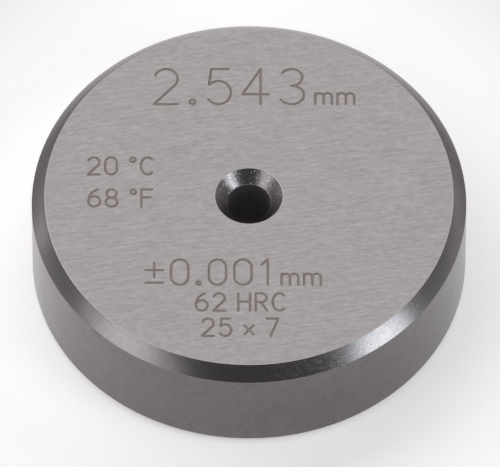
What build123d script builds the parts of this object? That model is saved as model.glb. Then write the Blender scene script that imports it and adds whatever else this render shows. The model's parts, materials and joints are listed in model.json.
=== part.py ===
"""Setting ring gauge: one hardened steel disc with a small calibrated bore through its middle.

The disc was turned with a chamfer on both rim edges and a countersink at both mouths of the bore. Its
faces and rim were then ground flat and round, which left the lower chamfer a little narrower than the
upper one, the bore was lapped to size, and a stone broke every edge to a small radius.
The ring lies on its lower face: Z is the bore's axis, and the origin is where that axis meets the lower
face. All sizes are in millimetres.
"""

import os
from math import radians, tan

from build123d import *

# Driving dimensions
OUTSIDE_DIAMETER = 25.0
WIDTH = 7.0
BORE_DIAMETER = 2.5425
UPPER_CHAMFER_WIDTH = 0.75
LOWER_CHAMFER_WIDTH = 0.6
CHAMFER_ANGLE = 45.0
MOUTH_DIAMETER = 3.9
MOUTH_INCLUDED_ANGLE = 90.0
EDGE_BREAK_RADIUS = 0.04

# Worked out from them
RIM_RADIUS = OUTSIDE_DIAMETER / 2
BORE_RADIUS = BORE_DIAMETER / 2
MOUTH_RADIUS = MOUTH_DIAMETER / 2
MOUTH_DEPTH = (MOUTH_RADIUS - BORE_RADIUS) / tan(radians(MOUTH_INCLUDED_ANGLE / 2))


def face_corners(height, chamfer_width, inward):
    """Corners of the section at one face, from the rim to the bore; inward is the way into the steel."""
    chamfer_height = chamfer_width * tan(radians(CHAMFER_ANGLE))
    return [
        (RIM_RADIUS, height + inward * chamfer_height),
        (RIM_RADIUS - chamfer_width, height),
        (MOUTH_RADIUS, height),
        (BORE_RADIUS, height + inward * MOUTH_DEPTH),
    ]


def ring_section():
    """The section on one side of the axis, in the XZ plane, with every edge broken."""
    upper = face_corners(WIDTH, UPPER_CHAMFER_WIDTH, inward=-1)
    lower = face_corners(0, LOWER_CHAMFER_WIDTH, inward=1)
    sharp = make_face(Plane.XZ * Polyline(*upper, *reversed(lower), close=True))
    return fillet(sharp.vertices(), EDGE_BREAK_RADIUS)


def ring():
    """The whole gauge: its section turned once round the bore's axis."""
    return revolve(ring_section(), axis=Axis.Z)


def main():
    os.makedirs("parts", exist_ok=True)
    export_step(ring(), "parts/ring.step")


main()
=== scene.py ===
"""Setting ring gauge in Blender: the ring's final mesh and finishes, its stage and its camera.

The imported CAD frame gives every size. The ring is one mesh: its section is turned once round the bore's
axis, and the upper face carries marks that are cut into it as real grooves. Each machined surface has
its own finish. Sizes are in metres unless a name says otherwise, and Z is the bore's axis.
"""

import json
from math import atan2, cos, hypot, pi, radians, sin, tan

import bpy
import numpy as np
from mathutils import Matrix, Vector
from mathutils.geometry import delaunay_2d_cdt


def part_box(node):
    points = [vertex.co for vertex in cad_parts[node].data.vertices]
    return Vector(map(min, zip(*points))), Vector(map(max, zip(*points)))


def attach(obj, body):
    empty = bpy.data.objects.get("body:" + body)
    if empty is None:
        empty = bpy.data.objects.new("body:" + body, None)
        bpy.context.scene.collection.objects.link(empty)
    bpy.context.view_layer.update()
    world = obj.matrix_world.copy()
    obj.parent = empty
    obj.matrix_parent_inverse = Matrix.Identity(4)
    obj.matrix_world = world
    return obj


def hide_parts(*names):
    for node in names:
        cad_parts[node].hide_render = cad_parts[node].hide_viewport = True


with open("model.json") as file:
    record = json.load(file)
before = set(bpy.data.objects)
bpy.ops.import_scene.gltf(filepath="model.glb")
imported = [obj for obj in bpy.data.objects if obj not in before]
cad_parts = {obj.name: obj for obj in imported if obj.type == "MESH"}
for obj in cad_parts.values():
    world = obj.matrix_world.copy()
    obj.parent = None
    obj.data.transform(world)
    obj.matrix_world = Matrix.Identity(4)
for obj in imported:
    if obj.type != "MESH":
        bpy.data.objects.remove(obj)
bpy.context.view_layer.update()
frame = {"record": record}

bl_info = {
    "name": "Setting ring gauge",
    "version": (1, 0, 0),
    "blender": (4, 5, 0),
    "location": "3D View > Sidebar > Setting ring",
    "description": "Builds a steel setting ring with its marks, finishes and studio stage",
    "category": "Add Mesh",
}

MM = 0.001
LOW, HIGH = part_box("ring")
MOUNTS = {mount["name"]: mount for mount in frame["record"]["mounts"]}


def linear(colour):
    """The linear red, green, blue and alpha of an sRGB hex colour."""
    channels = [int(colour[i : i + 2], 16) / 255 for i in (1, 3, 5)]
    return [c / 12.92 if c <= 0.04045 else ((c + 0.055) / 1.055) ** 2.4 for c in channels] + [1.0]


# What a user would change


def length_property(name, description, default):
    """A length in metres that the sidebar shows in the scene's unit."""
    return bpy.props.FloatProperty(
        name=name,
        description=description,
        default=default,
        min=0.0,
        precision=5,
        subtype="DISTANCE",
        unit="LENGTH",
    )


def colour_property(name, description, colour):
    """A linear colour whose default is an sRGB hex colour."""
    return bpy.props.FloatVectorProperty(
        name=name, description=description, default=linear(colour)[:3], min=0.0, max=1.0, subtype="COLOR"
    )


class RingSizes(bpy.types.PropertyGroup):
    """The sizes of the turned section."""

    outside_diameter: length_property(
        "Outside diameter", "Diameter of the ground rim", 2 * MOUNTS["rim"]["dims"]["r_mm"] * MM
    )
    width: length_property("Width", "Distance between the two ground faces", HIGH.z - LOW.z)
    bore_diameter: length_property(
        "Bore diameter", "Diameter of the lapped bore", 2 * MOUNTS["bore"]["dims"]["r_mm"] * MM
    )
    mouth_diameter: length_property(
        "Mouth diameter", "Diameter of the countersink at each end of the bore", 3.9 * MM
    )
    upper_chamfer: length_property(
        "Upper chamfer", "Width of the 45 degree chamfer round the marked face", 0.75 * MM
    )
    lower_chamfer: length_property(
        "Lower chamfer", "Width of the 45 degree chamfer round the lower face", 0.6 * MM
    )
    edge_break: length_property(
        "Edge break", "Radius that the stone leaves on the edges of the faces", 0.04 * MM
    )
    rim_break: length_property(
        "Rim break", "Radius of the softer edges between the rim and its chamfers", 0.05 * MM
    )
    lip_break: length_property(
        "Lip break", "Radius of the lapped lip at each end of the bore", 0.1 * MM
    )
    segments: bpy.props.IntProperty(
        name="Segments", description="Steps of the mesh once round the ring", default=384, min=32
    )


class RingMarks(bpy.types.PropertyGroup):
    """What the marks on the upper face say, and how they are cut."""

    bore_size: bpy.props.StringProperty(
        name="Bore size", description="Nominal diameter of the bore in millimetres", default="2.543"
    )
    unit: bpy.props.StringProperty(
        name="Unit", description="Unit of the bore size and of the tolerance", default="mm"
    )
    temperature: bpy.props.StringProperty(
        name="Temperature", description="Temperature at which the bore has its size", default="20 °C"
    )
    fahrenheit: bpy.props.StringProperty(
        name="Fahrenheit", description="The same temperature in degrees Fahrenheit", default="68 °F"
    )
    tolerance: bpy.props.StringProperty(
        name="Tolerance", description="Tolerance of the bore in millimetres", default="±0.001"
    )
    hardness: bpy.props.StringProperty(
        name="Hardness", description="Rockwell hardness of the steel", default="62 HRC"
    )
    disc_size: bpy.props.StringProperty(
        name="Disc size",
        description="Outside diameter and width of the ring in millimetres",
        default="25 × 7",
    )
    line_width: length_property("Line width", "Width of a cut line at the surface", 0.16 * MM)
    depth: length_property("Depth", "Depth of a cut line", 0.02 * MM)


class RingColours(bpy.types.PropertyGroup):
    """The colours of the steel, the marks and the floor."""

    steel: colour_property("Steel", "Bare hardened tool steel", "#969191")
    # The rim is the same steel as the faces; its darker colour is painted shade of the shadowed floor that
    # it mirrors.
    rim: colour_property("Rim", "Darker steel of the ground rim", "#736E6F")
    mark: colour_property("Mark", "Etched floor of the cut lines", "#887E7C")
    card: colour_property("Card", "Pale card that the ring lies on", "#F7F5F6")
    table: colour_property("Table", "Grey table round the card", "#A9A6A8")


# Section of the ring. The regions are numbered in the order in which the section is walked, from the
# upper mouth outwards and back up through the bore.
UPPER_FACE, UPPER_CHAMFER, RIM, LOWER_CHAMFER, LOWER_FACE, LOWER_MOUTH, BORE, UPPER_MOUTH = range(8)
EDGE, LIP, MARK = range(8, 11)
EDGE_STEPS = 4
# How far each chamfer's surface leans out of 45 degrees at its two borders, from being rubbed
CHAMFER_CROWN = radians(2.5)
# How far the surface of the bore's two lips turns out of their arcs, over a burr too fine for the mesh
LIP_BURR = radians(35)


def section_corners(sizes):
    """The eight corners of the section; each starts the region of its number.

    Each is the sharp corner's radius and height, the radius of its broken edge and that edge's region.
    """
    rim = sizes.outside_diameter / 2
    bore = sizes.bore_diameter / 2
    mouth = sizes.mouth_diameter / 2
    depth = mouth - bore
    top = sizes.width
    return [
        (mouth, top, sizes.edge_break, EDGE),
        (rim - sizes.upper_chamfer, top, sizes.edge_break, EDGE),
        (rim, top - sizes.upper_chamfer, sizes.rim_break, UPPER_CHAMFER),
        (rim, sizes.lower_chamfer, sizes.rim_break, LOWER_CHAMFER),
        (rim - sizes.lower_chamfer, 0.0, sizes.edge_break, EDGE),
        (mouth, 0.0, sizes.edge_break, EDGE),
        (bore, depth, sizes.lip_break, LIP),
        (bore, top - depth, sizes.lip_break, LIP),
    ]


def section_points(sizes):
    """The section with its edges broken, as a list of radius, height, tilt and region.

    The tilt is the angle of the outward normal above the horizontal, and the region is that of the step
    to the next point.
    """
    corners = section_corners(sizes)
    places = [Vector(corner[:2]) for corner in corners]
    points = []
    for number, (_, _, edge_radius, edge_region) in enumerate(corners):
        corner = places[number]
        before = (corner - places[number - 1]).normalized()
        after = (places[(number + 1) % len(places)] - corner).normalized()
        turn = atan2(after.x * before.y - after.y * before.x, before.dot(after))
        out = Vector((-before.y, before.x))
        centre = corner - before * edge_radius * tan(turn / 2) - out * edge_radius
        first = atan2(out.y, out.x)
        last = first - turn
        if number - 1 in (UPPER_CHAMFER, LOWER_CHAMFER):
            first -= CHAMFER_CROWN
        if number in (UPPER_CHAMFER, LOWER_CHAMFER):
            last += CHAMFER_CROWN
        for step in range(EDGE_STEPS + 1):
            tilt = first + (last - first) * step / EDGE_STEPS
            radius, height = centre + edge_radius * Vector((cos(tilt), sin(tilt)))
            if edge_region == LIP:
                tilt += (LIP_BURR if number == BORE else -LIP_BURR) * sin(pi * step / EDGE_STEPS)
            points.append((radius, height, tilt, number if step == EDGE_STEPS else edge_region))
    return points


# Marks. Each letter is a width and its strokes, in a box one unit high. An arc has a point about every
# ARC_STEP degrees.
ARC_STEP = 12


def arc(x, y, rx, ry, start, end):
    """Points along an elliptical arc, from start to end in degrees."""
    steps = max(2, round(abs(end - start) / ARC_STEP))
    angles = [radians(start + (end - start) * i / steps) for i in range(steps + 1)]
    return [(x + rx * cos(a), y + ry * sin(a)) for a in angles]


LETTERS = {
    "0": (
        0.56,
        [arc(0.28, 0.68, 0.28, 0.32, 0, 180) + arc(0.28, 0.32, 0.28, 0.32, 180, 360) + [(0.56, 0.68)]],
    ),
    "1": (0.34, [[(0.06, 0.80), (0.26, 1.0), (0.26, 0.0)]]),
    "2": (0.56, [arc(0.28, 0.72, 0.27, 0.28, 160, -32) + [(0.0, 0.0), (0.56, 0.0)]]),
    "3": (0.56, [arc(0.27, 0.76, 0.25, 0.24, 150, -90) + arc(0.27, 0.26, 0.29, 0.26, 90, -150)]),
    "4": (0.60, [[(0.60, 0.28), (0.0, 0.28), (0.42, 1.0), (0.42, 0.0)]]),
    "5": (0.56, [[(0.50, 1.0), (0.10, 1.0), (0.05, 0.55)] + arc(0.27, 0.33, 0.29, 0.33, 130, -145)]),
    "6": (
        0.56,
        [[(0.44, 1.0)] + arc(0.58, 0.30, 0.58, 0.72, 125, 180) + arc(0.28, 0.30, 0.28, 0.30, 180, 540)],
    ),
    "7": (0.54, [[(0.0, 1.0), (0.54, 1.0), (0.18, 0.0)]]),
    "8": (0.56, [arc(0.28, 0.76, 0.24, 0.24, -90, 270), arc(0.28, 0.26, 0.28, 0.26, 90, 450)]),
    ".": (0.13, [arc(0.065, 0.065, 0.0625, 0.0625, 0, 360)]),
    "×": (0.42, [[(0.0, 0.10), (0.42, 0.60)], [(0.0, 0.60), (0.42, 0.10)]]),
    "F": (0.50, [[(0.0, 0.0), (0.0, 1.0), (0.50, 1.0)], [(0.0, 0.54), (0.42, 0.54)]]),
    "H": (0.56, [[(0.0, 0.0), (0.0, 1.0)], [(0.56, 0.0), (0.56, 1.0)], [(0.0, 0.52), (0.56, 0.52)]]),
    "R": (
        0.54,
        [
            [(0.0, 0.0), (0.0, 1.0)] + arc(0.27, 0.75, 0.25, 0.25, 90, -90) + [(0.0, 0.50)],
            [(0.24, 0.50), (0.54, 0.0)],
        ],
    ),
    "m": (
        0.80,
        [
            [(0.0, 0.0), (0.0, 0.64)],
            [(0.0, 0.44)] + arc(0.20, 0.44, 0.20, 0.20, 180, 0) + [(0.40, 0.0)],
            [(0.40, 0.44)] + arc(0.60, 0.44, 0.20, 0.20, 180, 0) + [(0.80, 0.0)],
        ],
    ),
    "±": (0.56, [[(0.0, 0.58), (0.56, 0.58)], [(0.28, 0.30), (0.28, 0.86)], [(0.0, 0.08), (0.56, 0.08)]]),
    "°": (0.24, [arc(0.12, 0.86, 0.12, 0.13, 0, 360)]),
    "C": (0.56, [arc(0.32, 0.5, 0.32, 0.5, 48, 312)]),
    " ": (0.10, []),
}
LETTER_GAP = 0.27
# Letter heights in millimetres, between the middles of the strokes
LARGE, MIDDLE, SMALL = 2.48, 1.76, 1.2
# The rows of marks: the property that holds the text, the letters' height, and the row's middle and
# baseline from the bore's axis, in millimetres. The first ones are followed by the unit in small letters.
ROWS_WITH_UNIT = (
    ("bore_size", LARGE, 0.3, 6.45),
    ("tolerance", MIDDLE, -0.9, -6.2),
)
PLAIN_ROWS = (
    ("temperature", SMALL, -7.4, 1.5),
    ("fahrenheit", SMALL, -7.4, -0.75),
    ("hardness", SMALL, -0.5, -8.0),
    ("disc_size", SMALL, -0.5, -9.75),
)
# Where the mesh lines of a cut line's wall run, from its lip to its floor, as parts of its half width
WALL_LINES = (1.0, 0.75, 0.5, 0.25)
# A part that marks a point as outside every cut line
OFF_MARKS = 2.0
# The grid on which the distance to the strokes is worked out, and how straight a mesh line has to be for
# a point of it to be left out
FIELD_PITCH_MM = 0.025
FLATNESS_MM = 0.0008
# Points of the upper face that are nearer than this are one point
MERGE_MM = 1e-7
# The least length, or squared length, that anything is divided by
TINY_MM = 1e-9


def row_length(text):
    """Length of a row of letters one unit high."""
    return sum(LETTERS[letter][0] + LETTER_GAP for letter in text) - LETTER_GAP


def mark_rows(marks):
    """The rows on the upper face: text, letter height, left end and baseline, in millimetres."""
    rows = []
    unit_gap = 2 * LETTER_GAP * SMALL
    unit = (row_length(marks.unit) + 2 * LETTER_GAP) * SMALL
    for name, height, middle, baseline in ROWS_WITH_UNIT:
        text = getattr(marks, name)
        length = row_length(text) * height
        left = middle - (length + unit) / 2
        rows.append((text, height, left, baseline))
        rows.append((marks.unit, SMALL, left + length + unit_gap, baseline))
    for name, height, middle, baseline in PLAIN_ROWS:
        text = getattr(marks, name)
        rows.append((text, height, middle - row_length(text) * height / 2, baseline))
    return rows


def letter_strokes(marks):
    """The strokes of each letter on the upper face, as lists of points in millimetres."""
    letters = []
    for text, height, left, baseline in mark_rows(marks):
        for letter in text:
            width, strokes = LETTERS[letter]
            if strokes:
                letters.append(
                    [[(left + height * x, baseline + height * y) for x, y in line] for line in strokes]
                )
            left += (width + LETTER_GAP) * height
    return letters


def stroke_distance(strokes, x, y):
    """Distance from each point to the nearest stroke."""
    distance = np.full(np.shape(x), np.inf)
    for line in strokes:
        for (start_x, start_y), (end_x, end_y) in zip(line, line[1:]):
            run_x, run_y = end_x - start_x, end_y - start_y
            along = ((x - start_x) * run_x + (y - start_y) * run_y) / max(run_x**2 + run_y**2, TINY_MM)
            along = np.clip(along, 0.0, 1.0)
            away = np.hypot(x - start_x - along * run_x, y - start_y - along * run_y)
            distance = np.minimum(distance, away)
    return distance


def chord_error(points):
    """How far the inner points leave the straight line from the first to the last."""
    (ax, ay), (bx, by) = points[0], points[-1]
    length = max(hypot(bx - ax, by - ay), TINY_MM)
    return max(abs((bx - ax) * (y - ay) - (by - ay) * (x - ax)) / length for x, y in points[1:-1])


def thinned(loop):
    """The closed loop without the points that lie on the line between their neighbours."""
    loop = loop + loop[:1]
    kept, start = [], 0
    while start < len(loop) - 1:
        kept.append(loop[start])
        end = start + 1
        while end < len(loop) - 1 and chord_error(loop[start : end + 2]) < FLATNESS_MM:
            end += 1
        start = end
    return kept


def contour_loops(field, level, left, bottom):
    """Closed loops along which the field has the level, found by walking over half cells of its grid."""
    columns = field.shape[1]
    inside = field < level
    mixed = inside[:-1, :-1] != inside[:-1, 1:]
    mixed |= inside[:-1, :-1] != inside[1:, :-1]
    mixed |= inside[:-1, :-1] != inside[1:, 1:]
    inside, above = inside.ravel(), (field - level).ravel()
    links = {}
    for row, column in np.argwhere(mixed).tolist():
        corner = row * columns + column
        across = corner + columns + 1
        for cell in ((corner, corner + 1, across), (corner, across, corner + columns)):
            sides = zip(cell, cell[1:] + cell[:1])
            crossed = [(min(side), max(side)) for side in sides if inside[side[0]] != inside[side[1]]]
            if crossed:
                links.setdefault(crossed[0], []).append(crossed[1])
                links.setdefault(crossed[1], []).append(crossed[0])

    def place(side):
        (first_row, first_column), (second_row, second_column) = (divmod(end, columns) for end in side)
        part = above[side[0]] / (above[side[0]] - above[side[1]])
        x = first_column + part * (second_column - first_column)
        y = first_row + part * (second_row - first_row)
        return left + x * FIELD_PITCH_MM, bottom + y * FIELD_PITCH_MM

    loops = []
    while links:
        previous = start = next(iter(links))
        current = links[start][0]
        loop = [start]
        while current != start:
            loop.append(current)
            first, second = links[current]
            previous, current = current, second if first == previous else first
        for side in loop:
            del links[side]
        loops.append(thinned([place(side) for side in loop]))
    return loops


def wall_normals(strokes, loop, slope):
    """Normals along a loop on a cut line's wall, which rises with the slope away from the strokes."""
    x, y = np.array(loop).T
    step = 0.1 * FIELD_PITCH_MM
    away_x = stroke_distance(strokes, x + step, y) - stroke_distance(strokes, x - step, y)
    away_y = stroke_distance(strokes, x, y + step) - stroke_distance(strokes, x, y - step)
    length = np.maximum(np.hypot(away_x, away_y), TINY_MM)
    ways = zip(away_x / length, away_y / length)
    return [Vector((-slope * u, -slope * v, 1.0)).normalized()[:] for u, v in ways]


def wall_loops(marks):
    """Every mesh line of the cut lines' walls: points in millimetres, part, drop in metres and normals."""
    half_mm = marks.line_width / MM / 2
    margin = half_mm + 3 * FIELD_PITCH_MM
    loops = []
    for strokes in letter_strokes(marks):
        x, y = np.array([point for line in strokes for point in line]).T
        left, bottom = x.min() - margin, y.min() - margin
        columns = np.arange(left, x.max() + margin, FIELD_PITCH_MM)
        rows = np.arange(bottom, y.max() + margin, FIELD_PITCH_MM)
        field = stroke_distance(strokes, *np.meshgrid(columns, rows))
        for part in WALL_LINES:
            drop = marks.depth * (1 + cos(pi * part)) / 2
            slope = marks.depth / MM * pi * sin(pi * part) / (2 * half_mm)
            for loop in contour_loops(field, part * half_mm, left, bottom):
                loops.append((loop, part, drop, wall_normals(strokes, loop, slope)))
    return loops


# Mesh of the ring


def turned_mesh(sizes):
    """Vertices, their normals, faces and each face's region, for all but the upper face."""
    points = section_points(sizes)
    rows = len(points)
    vertices, normals, faces, regions = [], [], [], []
    for step in range(sizes.segments):
        angle = 2 * pi * step / sizes.segments
        here = step * rows
        there = (step + 1) % sizes.segments * rows
        for row, (radius, height, tilt, region) in enumerate(points):
            vertices.append((radius * cos(angle), radius * sin(angle), height))
            normals.append((cos(tilt) * cos(angle), cos(tilt) * sin(angle), sin(tilt)))
            if region != UPPER_FACE:
                ahead = (row + 1) % rows
                faces.append((here + row, here + ahead, there + ahead, there + row))
                regions.append(region)
    return vertices, normals, faces, regions


def marked_mesh(sizes, marks):
    """The whole ring as one closed mesh: vertices, their normals, faces and each face's region."""
    vertices, normals, faces, regions = turned_mesh(sizes)
    rows = len(vertices) // sizes.segments
    flat, edges, targets, parts = [], [], [], []

    def add_loop(loop, loop_targets, part):
        start, count = len(flat), len(loop)
        flat.extend(Vector(point) for point in loop)
        targets.extend(loop_targets)
        parts.extend([part] * count)
        edges.extend((start + i, start + (i + 1) % count) for i in range(count))

    for row in (EDGE_STEPS, EDGE_STEPS + 1):
        border = [step * rows + row for step in range(sizes.segments)]
        add_loop([(vertices[i][0] / MM, vertices[i][1] / MM) for i in border], border, OFF_MARKS)
    for loop, part, drop, loop_normals in wall_loops(marks):
        start = len(vertices)
        vertices.extend((x * MM, y * MM, sizes.width - drop) for x, y in loop)
        normals.extend(loop_normals)
        add_loop(loop, range(start, len(vertices)), part)

    found, _, triangles, sources, _, _ = delaunay_2d_cdt(flat, edges, [], 0, MERGE_MM)
    mouth_mm = Vector(vertices[EDGE_STEPS][:2]).length / MM * cos(pi / sizes.segments)
    for triangle in triangles:
        middle = sum((found[i] for i in triangle), Vector((0, 0))) / 3
        if middle.length > mouth_mm:
            corners = [sources[i][0] for i in triangle]
            faces.append(tuple(targets[i] for i in corners))
            regions.append(MARK if min(parts[i] for i in corners) < WALL_LINES[0] else UPPER_FACE)
    return vertices, normals, faces, regions


# Finishes

# The grinding marks' angle off X on the two faces
LAY_ANGLE = radians(8.5)
# Steel's edge tint: a satin one turns nearly white at grazing angles
GRAZING_TINT = (1.0, 1.0, 1.0, 1.0)
# How many finer layers a noise texture has, and how strong each is beside the one before
NOISE_DETAIL = 2.0
NOISE_ROUGHNESS = 0.6
# How far a noise texture strays from its middle of 0.5 before the marks are at their lowest or highest
PATTERN_REACH = 0.18
# The parts of a speck's and of a nick's half size that are full, before their soft edge
SPECK_CORE = 0.6
NICK_CORE = 0.5
# The levels of the noise at which a stain begins and is full, and how much roughness a full one adds
STAIN_LEVELS = (0.5, 0.68)
STAIN_ROUGHNESS = 0.14
# Where the upper chamfer is stained and where it is pitted, and over which distances both end
STAINED_PLACE = (4.1 * MM, -11.4 * MM, 6.6 * MM)
PITTED_PLACE = (7.2 * MM, -9.8 * MM, 6.6 * MM)
STAIN_END = (1.5 * MM, 4.0 * MM)
PIT_END = (2.5 * MM, 5.0 * MM)
# The middle of the nick in the rim, just under the edge of the upper chamfer
NICK_PLACE = (-8.7 * MM, -8.98 * MM, 6.2 * MM)


def add_node(tree, kind, inputs=None, output=0, **settings):
    """Add a node and give back one of its outputs. Each input is set to a value or linked to an output."""
    node = tree.nodes.new(kind)
    for name, value in settings.items():
        setattr(node, name, value)
    for socket, value in (inputs or {}).items():
        if isinstance(value, bpy.types.NodeSocket):
            tree.links.new(value, node.inputs[socket])
        else:
            node.inputs[socket].default_value = value
    return node.outputs[output] if node.outputs else node


def lay(tree, length_mm, width_mm, turned):
    """Streaks along the tool marks, from 0 to 1. Length and width are the size of one streak.

    A ground face's marks run straight across the disc, LAY_ANGLE off X. Turned marks run round the bore's
    axis: there only Z crosses them, and the pattern has no seam.
    """
    length, width = length_mm * MM, width_mm * MM
    place = add_node(tree, "ShaderNodeTexCoord", output="Object")
    along = {
        "Vector": place,
        "Rotation": (0.0, 0.0, 0.0 if turned else LAY_ANGLE),
        "Scale": (length, length, width) if turned else (length, width, length),
    }
    streaks = {
        "Vector": add_node(tree, "ShaderNodeMapping", along, vector_type="TEXTURE"),
        "Scale": 1.0,
        "Detail": NOISE_DETAIL,
        "Roughness": NOISE_ROUGHNESS,
    }
    return add_node(tree, "ShaderNodeTexNoise", streaks)


def mottle(tree, size_mm, detail=NOISE_DETAIL):
    """Patches of one size that run no way in particular, from 0 to 1."""
    patches = {
        "Vector": add_node(tree, "ShaderNodeTexCoord", output="Object"),
        "Scale": 1 / (size_mm * MM),
        "Detail": detail,
        "Roughness": NOISE_ROUGHNESS,
    }
    return add_node(tree, "ShaderNodeTexNoise", patches)


def specks(tree, spacing_mm, size_mm, share):
    """Small round specks, 1 inside a speck and 0 outside, in a share of the cells of a random grid."""
    place = add_node(tree, "ShaderNodeTexCoord", output="Object")
    cells = {"Vector": place, "Scale": 1 / (spacing_mm * MM), "Randomness": 1.0}
    distance = add_node(tree, "ShaderNodeTexVoronoi", cells, output="Distance")
    colour = add_node(tree, "ShaderNodeTexVoronoi", cells, output="Color")
    radius = size_mm / spacing_mm / 2
    core = SPECK_CORE * radius
    speck = add_node(
        tree,
        "ShaderNodeMapRange",
        {"Value": distance, "From Min": core, "From Max": radius, "To Min": 1.0, "To Max": 0.0},
    )
    chance = add_node(tree, "ShaderNodeSeparateColor", {"Color": colour})
    chosen = add_node(tree, "ShaderNodeMath", {0: chance, 1: 1 - share}, operation="GREATER_THAN")
    return add_node(tree, "ShaderNodeMath", {0: speck, 1: chosen}, operation="MULTIPLY")


def soft_step(tree, centre, start, end, low=0.0, high=1.0):
    """Low nearer to the centre than start, high beyond end, and a soft change between."""
    place = add_node(tree, "ShaderNodeTexCoord", output="Object")
    distance = add_node(
        tree, "ShaderNodeVectorMath", {0: place, 1: centre}, output="Value", operation="DISTANCE"
    )
    return add_node(
        tree,
        "ShaderNodeMapRange",
        {"Value": distance, "From Min": start, "From Max": end, "To Min": low, "To Max": high},
        interpolation_type="SMOOTHSTEP",
    )


def nick(tree, place, length_mm, width_mm):
    """One thin nick that runs along the rim, 1 in its middle and 0 outside it."""
    half_length, half_width = length_mm * MM / 2, width_mm * MM / 2
    around = {
        "Vector": add_node(tree, "ShaderNodeTexCoord", output="Object"),
        "Location": place,
        "Rotation": (0.0, 0.0, atan2(place[1], place[0])),
        "Scale": (half_width, half_length, half_width),
    }
    inside = add_node(tree, "ShaderNodeMapping", around, vector_type="TEXTURE")
    distance = add_node(tree, "ShaderNodeVectorMath", {0: inside}, output="Value", operation="LENGTH")
    return add_node(
        tree,
        "ShaderNodeMapRange",
        {"Value": distance, "From Min": NICK_CORE, "From Max": 1.0, "To Min": 1.0, "To Max": 0.0},
    )


def bare_steel(
    name, colour, patterns, tone, roughness, relief_mm, stains=None, flecks=None, fleck_tone=1.0
):
    """Bare hardened steel whose surface carries tool marks.

    patterns are a fine and a coarse function of the node tree, and the coarse one's share. tone and
    roughness each give the level in the marks' low and high parts, and relief_mm is the marks' height.
    The stains are cloudy places where the surface is rougher, and the flecks are small hollows with a
    tone of their own; a tone above 1 makes them painted highlights.
    """
    material = bpy.data.materials.new(name)
    material.use_nodes = True
    tree = material.node_tree
    tree.nodes.clear()
    fine, coarse, share = patterns
    pattern = add_node(tree, "ShaderNodeMix", {0: share, 2: fine(tree), 3: coarse(tree)})
    marks = add_node(
        tree,
        "ShaderNodeMapRange",
        {"Value": pattern, "From Min": 0.5 - PATTERN_REACH, "From Max": 0.5 + PATTERN_REACH},
    )
    low, high = ([channel * level for channel in colour] + [1.0] for level in tone)
    base = add_node(tree, "ShaderNodeMix", {0: marks, 6: low, 7: high}, output=2, data_type="RGBA")
    rough = add_node(
        tree, "ShaderNodeMapRange", {"Value": marks, "To Min": roughness[0], "To Max": roughness[1]}
    )
    height = marks
    if stains:
        stained = {0: stains(tree), 1: STAIN_ROUGHNESS, 2: rough}
        rough = add_node(tree, "ShaderNodeMath", stained, operation="MULTIPLY_ADD")
    if flecks:
        fleck = flecks(tree)
        fleck_colour = [channel * fleck_tone for channel in colour] + [1.0]
        base = add_node(
            tree, "ShaderNodeMix", {0: fleck, 6: base, 7: fleck_colour}, output=2, data_type="RGBA"
        )
        height = add_node(tree, "ShaderNodeMath", {0: marks, 1: fleck}, operation="SUBTRACT")
    relief = {"Height": height, "Distance": relief_mm * MM, "Strength": 1.0}
    normal = add_node(tree, "ShaderNodeBump", relief)
    shader = add_node(
        tree,
        "ShaderNodeBsdfPrincipled",
        {
            "Base Color": base,
            "Metallic": 1.0,
            "Roughness": rough,
            "Normal": normal,
            "Specular Tint": GRAZING_TINT,
        },
    )
    add_node(tree, "ShaderNodeOutputMaterial", {"Surface": shader})
    return material


def surface_ground_steel(colour):
    """Tool steel from a surface grinder: satin, with short straight streaks that all run one way.

    The real scratches are a few micrometres wide. They are drawn 0.12 mm wide to show.
    """

    def fine(tree):
        return lay(tree, length_mm=0.4, width_mm=0.12, turned=False)

    def coarse(tree):
        return lay(tree, length_mm=2.4, width_mm=0.15, turned=False)

    return bare_steel(
        "surface_ground_tool_steel",
        colour,
        (fine, coarse, 0.4),
        tone=(0.86, 1.12),
        roughness=(0.38, 0.32),
        relief_mm=0.0011,
    )


def turned_steel(colour):
    """Finely turned tool steel on the chamfers: a clear shine, stained and pitted in one place.

    The real feed marks are too fine for the picture. They are drawn as a grain of 0.06 mm to show.
    """

    def fine(tree):
        return mottle(tree, size_mm=0.06)

    def coarse(tree):
        return mottle(tree, size_mm=0.3, detail=3.0)

    def stains(tree):
        clouds = mottle(tree, size_mm=0.17, detail=5.0)
        start, full = STAIN_LEVELS
        cloud = add_node(tree, "ShaderNodeMapRange", {"Value": clouds, "From Min": start, "From Max": full})
        here = soft_step(tree, STAINED_PLACE, *STAIN_END, low=1.0, high=0.0)
        return add_node(tree, "ShaderNodeMath", {0: cloud, 1: here}, operation="MULTIPLY")

    def pits(tree):
        pit = specks(tree, spacing_mm=0.22, size_mm=0.08, share=0.5)
        here = soft_step(tree, PITTED_PLACE, *PIT_END, low=1.0, high=0.0)
        return add_node(tree, "ShaderNodeMath", {0: pit, 1: here}, operation="MULTIPLY")

    return bare_steel(
        "fine_turned_tool_steel",
        colour,
        (fine, coarse, 0.3),
        tone=(0.88, 1.09),
        roughness=(0.28, 0.22),
        relief_mm=0.0007,
        stains=stains,
        flecks=pits,
        fleck_tone=0.25,
    )


def cylindrical_ground_steel(colour):
    """Tool steel from a cylindrical grinder on the rim: even dark satin, its darkness painted shade, with
    faint clouds and one small nick.

    The real scratches are a few micrometres wide. They are drawn as a grain of 0.11 mm to show.
    """

    def fine(tree):
        return mottle(tree, size_mm=0.11)

    def coarse(tree):
        return mottle(tree, size_mm=0.8, detail=3.0)

    def dark_nick(tree):
        return nick(tree, NICK_PLACE, length_mm=0.8, width_mm=0.16)

    return bare_steel(
        "cylindrical_ground_tool_steel",
        colour,
        (fine, coarse, 0.3),
        tone=(0.82, 1.16),
        roughness=(0.27, 0.21),
        relief_mm=0.001,
        flecks=dark_nick,
        fleck_tone=0.15,
    )


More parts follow.
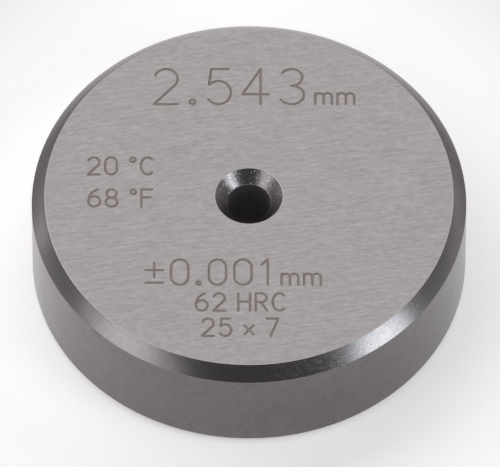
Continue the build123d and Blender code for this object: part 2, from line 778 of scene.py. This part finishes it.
def countersunk_steel(colour):
    """Tool steel cut by a countersink: bright, with coarse chatter and small hollows whose colour, three
    times the steel's, is a painted highlight on each.

    The finest tool marks are too fine for the picture. They are drawn as a grain of 0.07 mm to show.
    """

    def fine(tree):
        return mottle(tree, size_mm=0.07)

    def coarse(tree):
        return lay(tree, length_mm=0.3, width_mm=0.06, turned=True)

    def painted_glints(tree):
        return specks(tree, spacing_mm=0.16, size_mm=0.085, share=0.4)

    return bare_steel(
        "countersunk_tool_steel",
        colour,
        (fine, coarse, 0.35),
        tone=(0.74, 1.31),
        roughness=(0.26, 0.18),
        relief_mm=0.0065,
        flecks=painted_glints,
        # Specks three times as light as the steel: a painted highlight on each small hollow.
        fleck_tone=3.0,
    )


def lapped_steel(colour):
    """Lapped tool steel in the bore: a soft even grey, with faint marks round it.
    Its colour, 1.2 to 1.75 times the steel's, is painted light that lightens the bore.

    The lap's scratches are finer than a micrometre. They are drawn 0.05 mm wide to show.
    """

    def fine(tree):
        return mottle(tree, size_mm=0.08)

    def coarse(tree):
        return lay(tree, length_mm=0.8, width_mm=0.05, turned=True)

    return bare_steel(
        "lapped_tool_steel",
        colour,
        (fine, coarse, 0.5),
        # Colour 1.2 to 1.75 times the steel's: painted light in the bore.
        tone=(1.2, 1.75),
        roughness=(0.6, 0.5),
        relief_mm=0.002,
    )


def stoned_steel_painted_highlight(colour):
    """Tool steel rubbed with a fine stone on the broken edges: a thin bright line, partly the light that
    the edges' arcs catch and partly a painted highlight, as the colour is 1.5 to 2.1 times the steel's.

    The stone's scratches are a few micrometres wide. They are drawn as a grain of 0.1 mm to show.
    """

    def fine(tree):
        return mottle(tree, size_mm=0.1)

    def coarse(tree):
        return mottle(tree, size_mm=0.5)

    return bare_steel(
        "stoned_tool_steel",
        colour,
        (fine, coarse, 0.4),
        # Colour 1.5 to 2.1 times the steel's: a painted highlight on the broken edges.
        tone=(1.5, 2.1),
        roughness=(0.4, 0.32),
        relief_mm=0.0006,
    )


def etched_steel(colour):
    """Etched tool steel in the marks: dull, warm and darker than the ground face.

    The grain that etching leaves is too fine for the picture. It is drawn 0.08 mm across to show.
    """

    def fine(tree):
        return mottle(tree, size_mm=0.08)

    def coarse(tree):
        return mottle(tree, size_mm=0.4)

    return bare_steel(
        "etched_tool_steel",
        colour,
        (fine, coarse, 0.4),
        tone=(0.86, 1.1),
        roughness=(0.55, 0.45),
        relief_mm=0.0015,
    )


class SETTINGRING_OT_ring(bpy.types.Operator):
    """Build the ring with its marks and finishes"""

    bl_idname = "setting_ring.ring"
    bl_label = "Build the ring"

    def execute(self, context):
        scene = context.scene
        sizes, marks, colours = scene.ring_sizes, scene.ring_marks, scene.ring_colours
        vertices, normals, faces, regions = marked_mesh(sizes, marks)
        mesh = bpy.data.meshes.new("setting_ring")
        mesh.from_pydata(vertices, [], faces)
        ground = surface_ground_steel(colours.steel)
        turned = turned_steel(colours.steel)
        countersunk = countersunk_steel(colours.steel)
        stoned = stoned_steel_painted_highlight(colours.steel)
        finishes = {
            UPPER_FACE: ground,
            UPPER_CHAMFER: turned,
            # The rim takes the darker rim colour, which is painted shade.
            RIM: cylindrical_ground_steel(colours.rim),
            LOWER_CHAMFER: turned,
            LOWER_FACE: ground,
            LOWER_MOUTH: countersunk,
            BORE: lapped_steel(colours.steel),
            UPPER_MOUTH: countersunk,
            # The broken edges carry a painted highlight.
            EDGE: stoned,
            LIP: countersunk,
            MARK: etched_steel(colours.mark),
        }
        slots = list(dict.fromkeys(finishes.values()))
        for material in slots:
            mesh.materials.append(material)
        mesh.polygons.foreach_set("material_index", [slots.index(finishes[region]) for region in regions])
        mesh.shade_smooth()
        mesh.normals_split_custom_set_from_vertices(normals)
        if mesh.validate():
            raise RuntimeError("the ring's mesh has faults")
        ring = bpy.data.objects.new("setting_ring", mesh)
        context.collection.objects.link(ring)
        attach(ring, "root")
        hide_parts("ring")
        return {"FINISHED"}


# Stage


class StageLevels(bpy.types.PropertyGroup):
    """How bright each part of the plain studio is, where 1 shows a colour about as it is written."""

    key: bpy.props.FloatProperty(
        name="Key", description="Large soft box above and behind the ring", default=0.96, min=0.0
    )
    side: bpy.props.FloatProperty(
        name="Side", description="Small soft box just over the table on the left", default=0.8, min=0.0
    )
    right: bpy.props.FloatProperty(
        name="Right", description="Soft box low on the right", default=3.5, min=0.0
    )
    left: bpy.props.FloatProperty(
        name="Left", description="Soft box low on the left", default=0.7, min=0.0
    )
    left_core: bpy.props.FloatProperty(
        name="Left core", description="Brighter middle of the left soft box", default=0.8, min=0.0
    )
    top: bpy.props.FloatProperty(
        name="Top", description="Soft box straight above", default=1.3, min=0.0
    )
    room: bpy.props.FloatProperty(
        name="Room", description="Walls of the room at middle height", default=0.22, min=0.0
    )
    card: bpy.props.FloatProperty(
        name="Card", description="Whiteness that the card is given over its light", default=0.33, min=0.0
    )


# Soft boxes: property, azimuth from +X, elevation, distance, width, height, colour (degrees and metres)
SOFT_BOXES = (
    ("key", 112.0, 50.0, 0.5, 1.3, 0.42, "#FFFFFF"),
    ("side", 158.0, 7.0, 0.45, 0.07, 0.07, "#F6F7FF"),
    ("right", -29.5, 22.5, 0.45, 0.2, 0.2, "#EDF8FF"),
    ("left", -145.0, 25.5, 0.45, 0.42, 0.22, "#FAFAFF"),
    ("left_core", -146.0, 25.0, 0.44, 0.19, 0.2, "#FAFAFF"),
    ("top", -90.0, 87.0, 0.5, 0.2, 0.16, "#FFFFFF"),
)
CARD_RADIUS = 0.35
# Distances from the middle over which the table's colour gives way to the card's under the ring's foot,
# and over which the card's white and glow give way to the table's grey again: a painted pool of light round
# the ring
CARD_HOLE = (11.5 * MM, 12.3 * MM)
PAINTED_POOL_FADE = (18 * MM, 42 * MM)
# Painted light round the ring's foot, most on its left: there the card glows more than elsewhere, which
# lightens the ring's shadow on it and in the rim's reflection. The middle of that place, the distances over
# which it ends, and how much more
PAINTED_FOOT_LIGHT_PLACE = (-2.5 * MM, 0.0, 0.0)
PAINTED_FOOT_LIGHT_END = (12.0 * MM, 16.5 * MM)
PAINTED_FOOT_LIGHT = 1.35
# The card lies just under the ring, and is open below it between these distances from the middle, so that
# the lower face is lit from below
CARD_DROP = 0.02 * MM
CARD_OPENING = (1.93 * MM, 11.95 * MM)
CARD_RINGS = (0.0, *CARD_OPENING, 20 * MM, 40 * MM, 100 * MM, CARD_RADIUS)
CARD_SEGMENTS = 128
# Levels of the room's low walls, of its ceiling and of the dark screen
PALE_ROOM = 0.64
CEILING = 0.5
DARK_SCREEN = 0.07
# Where each part of the room begins and ends, as the height or the Y of a direction one unit long
LOW_WALLS = (0.06, 0.24)
CEILING_RISE = (0.42, 0.65)
SCREEN_SIDE = (-0.7, -0.42)
SCREEN_FOOT = (0.24, 0.46)
SCREEN_TOP = (0.69, 0.89)

# The photograph's camera: its elevation, its distance, its scale at the upper face in pixels per metre,
# and where the middle of the upper face falls, in pixels right of and above the middle of the picture
CAMERA_ELEVATION = radians(55.27)
CAMERA_DISTANCE = 1.0
PICTURE_WIDTH = 500
PIXELS_PER_METRE = 17401.0
FACE_RIGHT, FACE_ABOVE = -1.02, 37.65


def white_card(near, far, lift):
    """Matt white card on a pale grey table, and clear from behind so that the ring shows from below.
    The card's white and glow fade into the grey round the ring: a painted pool of light.

    What sees or mirrors the card finds it a little whiter than it is lit.
    """
    material = bpy.data.materials.new("matt_white_card")
    material.use_nodes = True
    tree = material.node_tree
    tree.nodes.clear()
    middle = (0.0, 0.0, 0.0)
    outside = soft_step(tree, middle, *CARD_HOLE)
    # The card's white and glow end in a soft fade: a painted pool of light round the ring.
    inside = soft_step(tree, middle, *PAINTED_POOL_FADE, low=1.0, high=0.0)
    card_in_painted_pool = add_node(tree, "ShaderNodeMath", {0: outside, 1: inside}, operation="MULTIPLY")
    base = add_node(
        tree, "ShaderNodeMix", {0: card_in_painted_pool, 6: [*far, 1.0], 7: [*near, 1.0]}, output=2, data_type="RGBA"
    )
    paper = add_node(tree, "ShaderNodeBsdfDiffuse", {"Color": base})
    rays = add_node(tree, "ShaderNodeLightPath").node.outputs
    mirrored = add_node(
        tree,
        "ShaderNodeMath",
        {0: rays["Is Glossy Ray"], 1: rays["Is Transmission Ray"]},
        operation="MAXIMUM",
    )
    seen = add_node(tree, "ShaderNodeMath", {0: rays["Is Camera Ray"], 1: mirrored}, operation="MAXIMUM")
    # Painted light: the card glows more round the ring's foot, most on its left.
    painted_foot_light = soft_step(tree, PAINTED_FOOT_LIGHT_PLACE, *PAINTED_FOOT_LIGHT_END, low=PAINTED_FOOT_LIGHT * lift, high=lift)
    whiter = add_node(tree, "ShaderNodeMath", {0: card_in_painted_pool, 1: painted_foot_light}, operation="MULTIPLY")
    strength = add_node(tree, "ShaderNodeMath", {0: whiter, 1: seen}, operation="MULTIPLY")
    glow = add_node(tree, "ShaderNodeEmission", {"Color": base, "Strength": strength})
    lifted = add_node(tree, "ShaderNodeAddShader", {0: paper, 1: glow})
    clear = add_node(tree, "ShaderNodeBsdfTransparent")
    behind = add_node(tree, "ShaderNodeNewGeometry", output="Backfacing")
    shader = add_node(tree, "ShaderNodeMixShader", {0: behind, 1: lifted, 2: clear})
    add_node(tree, "ShaderNodeOutputMaterial", {"Surface": shader})
    return material


def card_mesh():
    """A flat disc in rings, open between the bore and the ring's outer foot."""
    vertices, faces = [], []
    for radius in CARD_RINGS:
        for step in range(CARD_SEGMENTS):
            angle = 2 * pi * step / CARD_SEGMENTS
            vertices.append((radius * cos(angle), radius * sin(angle), -CARD_DROP))
    for ring, radius in enumerate(CARD_RINGS[:-1]):
        if radius == CARD_OPENING[0]:
            continue
        for step in range(CARD_SEGMENTS):
            here = ring * CARD_SEGMENTS + step
            there = ring * CARD_SEGMENTS + (step + 1) % CARD_SEGMENTS
            faces.append((here, here + CARD_SEGMENTS, there + CARD_SEGMENTS, there))
    mesh = bpy.data.meshes.new("studio_card")
    mesh.from_pydata(vertices, [], faces)
    return mesh


def add_soft_box(context, name, level, azimuth, elevation, distance, width, height, colour):
    """An even round soft box that faces the ring, at a level that a mirror would show."""
    lamp = bpy.data.lights.new(name, "AREA")
    lamp.shape = "ELLIPSE"
    lamp.size, lamp.size_y = width, height
    lamp.energy = level * pi * width * height * pi / 4
    lamp.color = linear(colour)[:3]
    box = bpy.data.objects.new(name, lamp)
    azimuth, elevation = radians(azimuth), radians(elevation)
    toward = Vector((cos(elevation) * cos(azimuth), cos(elevation) * sin(azimuth), sin(elevation)))
    box.location = distance * toward
    box.rotation_euler = toward.to_track_quat("Z", "Y").to_euler()
    box.visible_camera = False
    context.collection.objects.link(box)


def light_room(scene, level):
    """The room round the stage: pale low down and overhead, dimmer between, a dark screen in front."""
    world = bpy.data.worlds.new("studio_room")
    world.use_nodes = True
    scene.world = world
    tree = world.node_tree
    tree.nodes.clear()

    way = add_node(tree, "ShaderNodeTexCoord", output="Generated")
    parts = add_node(tree, "ShaderNodeSeparateXYZ", {0: way}).node.outputs
    ramps = []
    for axis, (start, end), low, high in (
        ("Z", LOW_WALLS, PALE_ROOM, level),
        ("Z", CEILING_RISE, 0.0, CEILING),
        ("Y", SCREEN_SIDE, 1.0, 0.0),
        ("Z", SCREEN_FOOT, 0.0, 1.0),
        ("Z", SCREEN_TOP, 1.0, 0.0),
    ):
        limits = {"Value": parts[axis], "From Min": start, "From Max": end, "To Min": low, "To Max": high}
        ramps.append(add_node(tree, "ShaderNodeMapRange", limits, interpolation_type="SMOOTHSTEP"))
    low_walls, ceiling, across, foot, top = ramps
    walls = add_node(tree, "ShaderNodeMath", {0: low_walls, 1: ceiling}, operation="MAXIMUM")
    upward = add_node(tree, "ShaderNodeMath", {0: foot, 1: top}, operation="MULTIPLY")
    screen = add_node(tree, "ShaderNodeMath", {0: upward, 1: across}, operation="MULTIPLY")
    strength = add_node(tree, "ShaderNodeMix", {0: screen, 2: walls, 3: DARK_SCREEN})
    shader = add_node(tree, "ShaderNodeBackground", {"Color": (1.0, 1.0, 1.0, 1.0), "Strength": strength})
    add_node(tree, "ShaderNodeOutputWorld", {"Surface": shader})


def add_camera(context, width):
    """The photograph's camera, aimed so that the upper face falls where it does in the photograph."""
    back = Vector((0.0, -cos(CAMERA_ELEVATION), sin(CAMERA_ELEVATION)))
    up = Vector((0.0, sin(CAMERA_ELEVATION), cos(CAMERA_ELEVATION)))
    aim = Vector((-FACE_RIGHT / PIXELS_PER_METRE, 0.0, width)) - up * (FACE_ABOVE / PIXELS_PER_METRE)
    data = bpy.data.cameras.new("photograph_camera")
    data.sensor_fit = "HORIZONTAL"
    data.lens = PIXELS_PER_METRE * CAMERA_DISTANCE * data.sensor_width / PICTURE_WIDTH
    data.clip_end = 10.0
    camera = bpy.data.objects.new("photograph_camera", data)
    camera.location = aim + back * CAMERA_DISTANCE
    camera.rotation_euler = back.to_track_quat("Z", "Y").to_euler()
    context.collection.objects.link(camera)
    context.scene.camera = camera


class SETTINGRING_OT_stage(bpy.types.Operator):
    """Build the pale card, the soft boxes, the room and the camera"""

    bl_idname = "setting_ring.stage"
    bl_label = "Build the stage"

    def execute(self, context):
        scene = context.scene
        card = bpy.data.objects.new("studio_card", card_mesh())
        card.data.materials.append(
            white_card(scene.ring_colours.card, scene.ring_colours.table, scene.stage_levels.card)
        )
        context.collection.objects.link(card)
        for name, *place in SOFT_BOXES:
            add_soft_box(context, f"{name}_soft_box", getattr(scene.stage_levels, name), *place)
        light_room(scene, scene.stage_levels.room)
        add_camera(context, scene.ring_sizes.width)
        scene.view_settings.view_transform = "Standard"
        return {"FINISHED"}


class SETTINGRING_PT_panel(bpy.types.Panel):
    """Sizes, marks, colours and light of the ring, and the two builders"""

    bl_idname = "SETTINGRING_PT_panel"
    bl_label = "Setting ring"
    bl_space_type = "VIEW_3D"
    bl_region_type = "UI"
    bl_category = "Setting ring"

    def draw(self, context):
        for group in GROUPS:
            box = self.layout.box()
            for name in GROUPS[group].__annotations__:
                box.prop(getattr(context.scene, group), name)
        self.layout.operator(SETTINGRING_OT_ring.bl_idname)
        self.layout.operator(SETTINGRING_OT_stage.bl_idname)


GROUPS = {
    "ring_sizes": RingSizes,
    "ring_marks": RingMarks,
    "ring_colours": RingColours,
    "stage_levels": StageLevels,
}
CLASSES = (*GROUPS.values(), SETTINGRING_OT_ring, SETTINGRING_OT_stage, SETTINGRING_PT_panel)


def register():
    """Register the classes and give the scene its property groups."""
    for cls in CLASSES:
        bpy.utils.register_class(cls)
    for name, group in GROUPS.items():
        setattr(bpy.types.Scene, name, bpy.props.PointerProperty(type=group))


def unregister():
    """Take the property groups and the classes away again."""
    for name in GROUPS:
        delattr(bpy.types.Scene, name)
    for cls in reversed(CLASSES):
        bpy.utils.unregister_class(cls)


def main():
    """Build the ring and its stage."""
    register()
    bpy.ops.setting_ring.ring()
    bpy.ops.setting_ring.stage()


if __name__ == "__main__":
    main()
